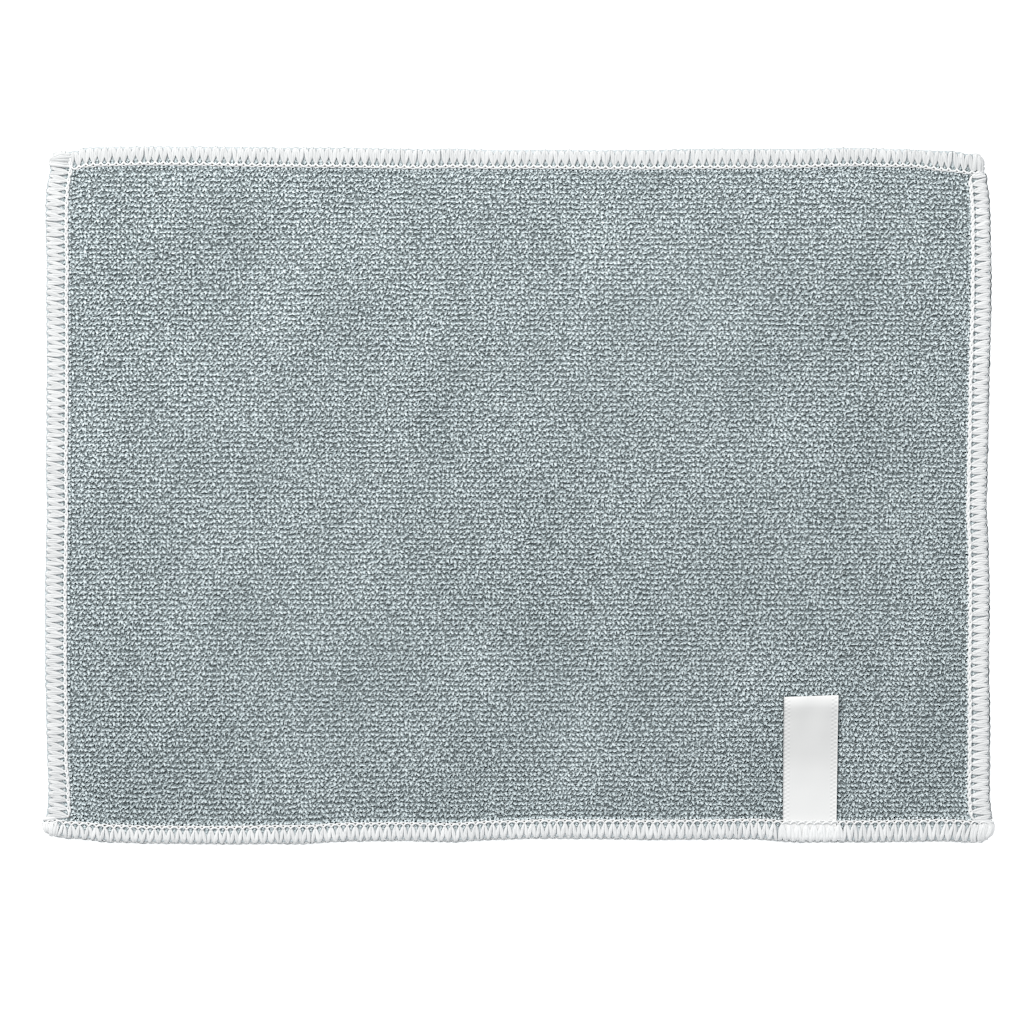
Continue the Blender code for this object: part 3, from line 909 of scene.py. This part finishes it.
def needle_line(material):
    """Two lines of thread that hold the loopers down: a deep scallop, and one round the needle holes."""
    random = np.random.default_rng(23)
    paths, flats, tones, widths = [], [], [], []
    steps = np.linspace(0, 1, 6)
    for side in SIDES:
        needle, band, _, _ = run_of(side)
        middle = (needle[1:] + needle[:-1]) / 2
        middle_band = (band[1:] + band[:-1]) / 2 + 0.95 * CHAIN_BOW[side] * MM
        for row, (tone, height, rise) in enumerate(CHAIN_ROWS):
            knots, depth = ((needle, band), (middle, middle_band))[row]
            spans = len(knots) - 1
            path = np.empty((spans, len(steps), 3))
            bow_by = (CHAIN_BOW[side], ROUND_BOW[side])[row] * MM * random.uniform(0.85, 1.15, spans)
            for step, share in enumerate(steps):
                along = knots[:-1] + (knots[1:] - knots[:-1]) * share
                inset = depth[:-1] + (depth[1:] - depth[:-1]) * share
                bow = math.sin(math.pi * share)
                lift = label_lift(side, along) * 0.85
                top = THREAD_TOP + lift + (height + rise * bow ** 0.5) * MM
                lay(path, step, side, along, inset + bow_by * bow ** 0.8, top)
            paths.append(path)
            across = np.array([0, 1.0, 0]) if side in ("near", "far") else np.array([1.0, 0, 0])
            flats.append(np.broadcast_to(across, (spans, 1, 3)))
            tones.append(np.full(spans, tone))
            widths.append(np.full(path.shape[:2], CHAIN_WIDTH[side][row] * MM))
    paths = np.concatenate(paths)
    width = np.concatenate(widths)
    return threads("overlock_needle_thread", paths, width, width, np.concatenate(flats),
                   material, np.concatenate(tones))


def edge_arcs(name, material, seed, out, bow, height, half_width, tone):
    """Small arcs from slit to slit along the outline; out is how far past the threads they lie."""
    random = np.random.default_rng(seed)
    paths, flats, tones = [], [], []
    steps = np.linspace(0, 1, 5)
    for side in SIDES:
        needle, _, fan, _ = run_of(side)
        ends = needle + fan + SKEW[side] * MM
        spans = len(needle) - 1
        path = np.empty((spans, len(steps), 3))
        bow_by = random.uniform(bow[0], bow[1], spans) * MM
        for step, share in enumerate(steps):
            along = ends[:-1] + (ends[1:] - ends[:-1]) * share
            bend = math.sin(math.pi * share) ** 0.8
            inset = (TURN_INSET[side] - out[side]) * MM - bow_by * bend
            lay(path, step, side, along, inset, (height - 0.25 * bend) * MM)
        paths.append(path)
        flats.append(np.broadcast_to(np.array([0, 0, 1.0]), (spans, 1, 3)))
        tones.append(random.uniform(*tone[side], spans))
    paths = np.concatenate(paths)
    width = np.full(paths.shape[:2], half_width * MM)
    return threads(name, paths, width, width, np.concatenate(flats), material, np.concatenate(tones), 3)


PURL_OUT = dict.fromkeys(SIDES, -0.15)        # mm past the turned threads
PURL_TONE = dict.fromkeys(SIDES, (0.3, 0.8))
# The cut edge's tones by side are painted shade: darkest on the right and near sides, away from the key lamp,
# palest on the far side.
RAW_EDGE_TONE = {"near": (0.0, 0.6), "right": (0.0, 0.35), "far": (0.2, 1.0), "left": (0.1, 0.8)}
RAW_EDGE_OUT = {"near": 0.08, "right": 0.30, "far": -0.12, "left": -0.02}   # mm past the turned threads


def edge_purl(material):
    """Where the two loopers lock round the raw edge."""
    return edge_arcs("overlock_edge_purl", material, 27, PURL_OUT, (0.35, 0.60), 1.75, 0.24, PURL_TONE)


def raw_edge(material):
    """The cut edge of the terry, which shows as a thin grey line between the turns of the thread; its grey is
    partly its own and partly painted shade.
    """
    return edge_arcs("terry_raw_edge", material, 28, RAW_EDGE_OUT, (0.20, 0.40), 1.25, 0.26, RAW_EDGE_TONE)


HOLE_SIDES = 6
HOLE_RADIUS = 0.20          # mm
CORNER_FREE = 6.5 * MM      # how far from a corner the first hole shows


def needle_holes(material):
    """Small flat dark spots, painted shade of the holes where the needle went through, just inside the
    scalloped line.
    """
    centres = []
    for side in SIDES:
        needle, band, _, _ = run_of(side)
        x, y = side_point(side, needle, band + (0.22 + 0.50 * CHAIN_BOW[side]) * MM)
        px, py = place(x, y)
        bare = HALF_OF[side] - np.abs(needle) > CORNER_FREE
        if side == "near":
            bare &= np.abs(needle - LABEL_CENTRE) > LABEL_WIDTH / 2
        centres.append(np.stack([px, py, np.full(len(px), THREAD_TOP - 0.04 * MM)], -1)[bare])
    centres = np.concatenate(centres)
    turn = TURN * np.arange(HOLE_SIDES) / HOLE_SIDES
    rim = np.stack([np.cos(turn), np.sin(turn), 0 * turn], -1) * HOLE_RADIUS * MM
    points = centres[:, None] + rim
    faces = (np.arange(len(centres)) * HOLE_SIDES)[:, None] + np.arange(HOLE_SIDES)
    return mesh_object("overlock_needle_holes", points, faces, material)


# Where the runs cross a corner the threads pile up in a bunch, over others that close its other side.
# The bunches' tone is painted shade: lower at the two far corners, which the key lamp lights more.
BUNCHES = (                 # side, end, start_mm from the corner, reach_mm, strands, bulge_mm, tone, over
    ("left", -1, 1.0, 4.2, 13, 0.0, 0.35, True), ("far", 1, 0.6, 5.6, 14, 0.0, 0.35, False),
    ("far", -1, 0.6, 3.6, 11, 0.2, 0.4, True), ("right", 1, 0.6, 6.2, 15, 0.0, 0.4, False),
    ("near", -1, 0.3, 4.8, 17, 0.9, 0.75, True), ("left", 1, 0.6, 5.2, 16, 0.0, 0.6, False),
    ("near", 1, 0.2, 6.2, 24, 0.7, 0.75, True), ("right", -1, 0.6, 5.6, 19, 0.0, 0.6, False),
)
BUNCH_COURSE = (            # toward_needle, height_mm against the top, half_width_mm
    (0.30, -1.78, 0.34), (0.00, -1.30, 0.42), (-0.02, -0.70, 0.46), (0.06, 0.05, 0.50),
    (0.24, 0.32, 0.54), (0.50, 0.42, 0.52), (0.80, 0.30, 0.44), (1.04, -0.05, 0.32),
)


def corner_bunches(material):
    """Overlapping threads that wrap a corner where a run goes out to the next edge."""
    random = np.random.default_rng(29)
    paths, flats, tones = [], [], []
    for side, end, start, reach, strands, bulge, tone, over in BUNCHES:
        band = float(eased(BAND_WIDTH[side], np.array([end * HALF_OF[side] / MM]))[0]) * MM
        inner = np.sort(random.uniform(start, start + reach, strands)) * MM
        outer = inner - random.uniform(0.0, 1.2, strands) * MM + random.normal(0, 0.35, strands) * MM
        outer = np.maximum(outer, (1.2 - bulge) * MM)
        bulge = bulge * MM * (1.0 - ease(inner / (2.5 * MM)))
        swell = random.uniform(0.0, 0.25, strands) * MM - (0.0 if over else 0.45 * MM)
        deep = band * random.uniform(0.86, 1.06, strands) * (1.0 if over else 0.6)
        path = np.empty((strands, len(BUNCH_COURSE), 3))
        for step, (toward, height, _) in enumerate(BUNCH_COURSE):
            share = min(max(toward, 0.0), 1.0)
            from_corner = outer + (inner - outer) * share - bulge * math.sin(math.pi * share)
            top = THREAD_TOP + height * MM + swell * (1.0 if height > -0.2 else 0.0)
            lay(path, step, side, end * (HALF_OF[side] - from_corner), deep * toward, top)
        paths.append(path)
        flats.append(np.broadcast_to(side_heading(side), (strands, 1, 3)))
        tones.append(tone + random.uniform(-0.2, 0.2, strands))
    paths = np.concatenate(paths)
    width = np.array(BUNCH_COURSE)[:, 2] * MM
    width = width * random.uniform(0.85, 1.15, (len(paths), 1))
    return threads("overlock_corner_bunches", paths, width, width * 0.8, np.concatenate(flats),
                   material, np.concatenate(tones), 5)


# ---------------------------------------------------------------- care label
LABEL_BED = (               # inset_mm, height_mm of the lower ply's underside
    (0.3, 1.72), (1.2, 2.12), (3.0, 2.22), (6.0, 2.14),
    (9.0, 2.14), (12.0, 2.20), (30.0, 2.30), (46.0, 2.55),
)
# The upper ply's tone along the ribbon is painted light: paler towards the seam, painted shade below the fold
# and a painted highlight at the fold's edge.
RIBBON_PAINTED_SHEEN = (            # inset_mm, tone of the upper ply there
    (0.0, 0.93), (6.0, 0.87), (9.0, 0.85), (16.0, 0.825),
    (21.0, 0.79), (28.0, 0.715), (42.0, 0.71), (45.2, 0.86),
)
LABEL_GAP = (               # inset_mm, gap_mm between the plies
    (0.3, 0.04), (8.0, 0.05), (14.0, 0.14), (30.0, 0.22), (38.0, 0.45), (43.0, 0.86), (46.0, 0.90),
)
PLY = 0.15 * MM
LABEL_LINES = 29            # lengthwise lines of points across the ribbon
FOLD_STEPS = 10             # steps round the fold


def ribbon_section():
    """The folded ribbon from end to end: inset and height of its outer face, then of its inner face."""
    inset = np.array([0.45, 0.8, 1.2, 2, 3, 4.5, 6, 7.5, 9, 11, 13, 16, 19, 22, 25, 28, 31, 34, 36, 38,
                      39.5, 41, 42.5, 44]) * MM
    bed = eased(LABEL_BED, inset / MM) * MM
    gap = eased(LABEL_GAP, inset / MM) * MM
    radius = PLY + gap[-1] / 2
    within = radius - PLY
    middle = bed[-1] + radius
    fold = LABEL_REACH - radius
    lower = [(i, b, i, b + PLY) for i, b in zip(inset, bed)]
    upper = [(i, b + 2 * PLY + g, i, b + PLY + g) for i, b, g in zip(inset, bed, gap)]
    turned = []
    for step in range(1, FOLD_STEPS):
        turn = math.pi * (step / FOLD_STEPS - 0.5)
        reach, rise = math.cos(turn), math.sin(turn)
        turned.append((
            fold + radius * reach, middle + radius * rise,
            fold + within * reach, middle + within * rise,
        ))
    return np.array(lower + turned + upper[::-1])


def care_label(material):
    """The ribbon, folded at its middle: two thin plies, a soft fold and both cut ends in the seam."""
    line = ribbon_section()
    across = np.linspace(-1, 1, LABEL_LINES)
    walked = np.concatenate([[0], np.cumsum(np.hypot(np.diff(line[:, 0]), np.diff(line[:, 1])))])
    points = []
    for reach, height in ((line[:, 0], line[:, 1]), (line[:, 2], line[:, 3])):
        half = (LABEL_WIDTH + LABEL_TAPER * reach / LABEL_REACH) / 2
        lean = -0.55 * MM + 0.45 * MM * reach / LABEL_REACH
        x = LABEL_CENTRE + lean[:, None] + half[:, None] * across[None]
        y = np.broadcast_to((reach - HALF_WIDTH)[:, None], x.shape)
        y = y + 0.30 * MM * across * ease((reach[:, None] - 40 * MM) / (4 * MM))
        px, py = place(x, y)
        bend = 0.05 * MM * drift(x, y, 9 * MM, 8) * ease(reach[:, None] / (20 * MM))
        points.append(np.stack([px, py, height[:, None] + bend], -1))
    shape = (len(line), LABEL_LINES)
    total = len(line) * LABEL_LINES
    face, rim = grid_quads(*shape)
    follow = np.roll(rim, -1)
    wall = np.stack([rim, rim + total, follow + total, follow], -1)
    quads = np.concatenate([face[:, ::-1], face + total, wall])
    fields = (
        ("across_mm", across[None] * LABEL_WIDTH / 2 / MM),
        ("along_mm", walked[:, None] / MM),
        ("painted_sheen", eased(RIBBON_PAINTED_SHEEN, line[:, 0] / MM)[:, None]),
    )
    both_faces = [(name, np.broadcast_to(values, (2, *shape))) for name, values in fields]
    return mesh_object("care_label_ribbon", points, quads, material, both_faces)


# ---------------------------------------------------------------- stage
def stage():
    floor_mesh = bpy.data.meshes.new("floor")
    reach = 3.0
    floor_mesh.from_pydata(
        [(-reach, -reach, 0), (reach, -reach, 0), (reach, reach, 0), (-reach, reach, 0)],
        [], [(0, 1, 2, 3)],
    )
    floor_material, _, shader = new_material("floor_paper", (0.92, 0.92, 0.92), 0.9)
    shader.inputs["Emission Color"].default_value = (1, 1, 1, 1)
    shader.inputs["Emission Strength"].default_value = 0.50
    floor_mesh.materials.append(floor_material)
    floor = bpy.data.objects.new("floor", floor_mesh)
    bpy.context.scene.collection.objects.link(floor)


def lights():
    world = bpy.data.worlds.new("studio")
    bpy.context.scene.world = world
    world.use_nodes = True
    background = world.node_tree.nodes["Background"]
    background.inputs["Color"].default_value = (0.95, 0.97, 1.0, 1)
    background.inputs["Strength"].default_value = 0.68
    lamp = bpy.data.lights.new("key", "AREA")
    lamp.shape = "DISK"
    lamp.size = 0.9
    lamp.energy = 12.5
    lamp.color = (1.0, 0.99, 0.97)
    key = bpy.data.objects.new("key", lamp)
    heading = math.radians(122)
    rise = math.radians(45)
    away = 1.3
    key.location = (
        away * math.cos(rise) * math.cos(heading),
        away * math.cos(rise) * math.sin(heading),
        away * math.sin(rise),
    )
    key.rotation_mode = "QUATERNION"
    key.rotation_quaternion = (-key.location).to_track_quat("-Z", "Y")
    bpy.context.scene.collection.objects.link(key)


PICTURE_PIXELS = 1024
PIXEL = 0.318               # mm of the cloth that a pixel covers
PICTURE_MIDDLE = (-1.95, -5.575)   # mm, the place on the cloth at the picture's middle


def camera():
    """Straight above the cloth, framed so that a millimetre covers as much as in the photograph."""
    data = bpy.data.cameras.new("camera")
    data.lens = 100
    data.sensor_width = 36
    item = bpy.data.objects.new("camera", data)
    frame_width = PICTURE_PIXELS * PIXEL * MM
    away = frame_width * data.lens / data.sensor_width
    item.location = (PICTURE_MIDDLE[0] * MM, PICTURE_MIDDLE[1] * MM, away + 2 * MM)
    bpy.context.scene.collection.objects.link(item)
    bpy.context.scene.camera = item


def finishing():
    """A plain display transform, and a light sharpening like the one that the photograph shows."""
    scene = bpy.context.scene
    scene.view_settings.view_transform = "Standard"
    scene.use_nodes = True
    tree = scene.node_tree
    tree.nodes.clear()
    layers = tree.nodes.new("CompositorNodeRLayers")
    sharpen = tree.nodes.new("CompositorNodeFilter")
    sharpen.filter_type = "SHARPEN_DIAMOND"
    sharpen.inputs["Fac"].default_value = 0.07
    output = tree.nodes.new("CompositorNodeComposite")
    tree.links.new(layers.outputs["Image"], sharpen.inputs["Image"])
    tree.links.new(sharpen.outputs["Image"], output.inputs["Image"])


def main():
    finishing()
    camera()
    stage()
    lights()
    depth = terry_painted_foot_shade()
    yarn = terry_material(depth)
    ground = terry_ground(ground_material())
    face = pile_face(yarn) + pile_fill(yarn) + seam_loops(yarn) + [raw_edge(cut_edge_material(depth))]
    back = pile_back(yarn)
    looper = thread_material(wraps=True)
    thread = thread_material(wraps=False)
    edging = [upper_looper(looper), lower_looper(thread), needle_line(thread), edge_purl(thread),
              needle_holes(hole_shade_material()), corner_bunches(thread)]
    label = care_label(ribbon_material())
    for piece in [ground, *face, *back]:
        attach(piece, "root")
    for piece in edging:
        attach(piece, "root")
    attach(label, "root")
    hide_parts("terry_panel")
    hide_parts("overlock_edging")
    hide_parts("care_label")


main()
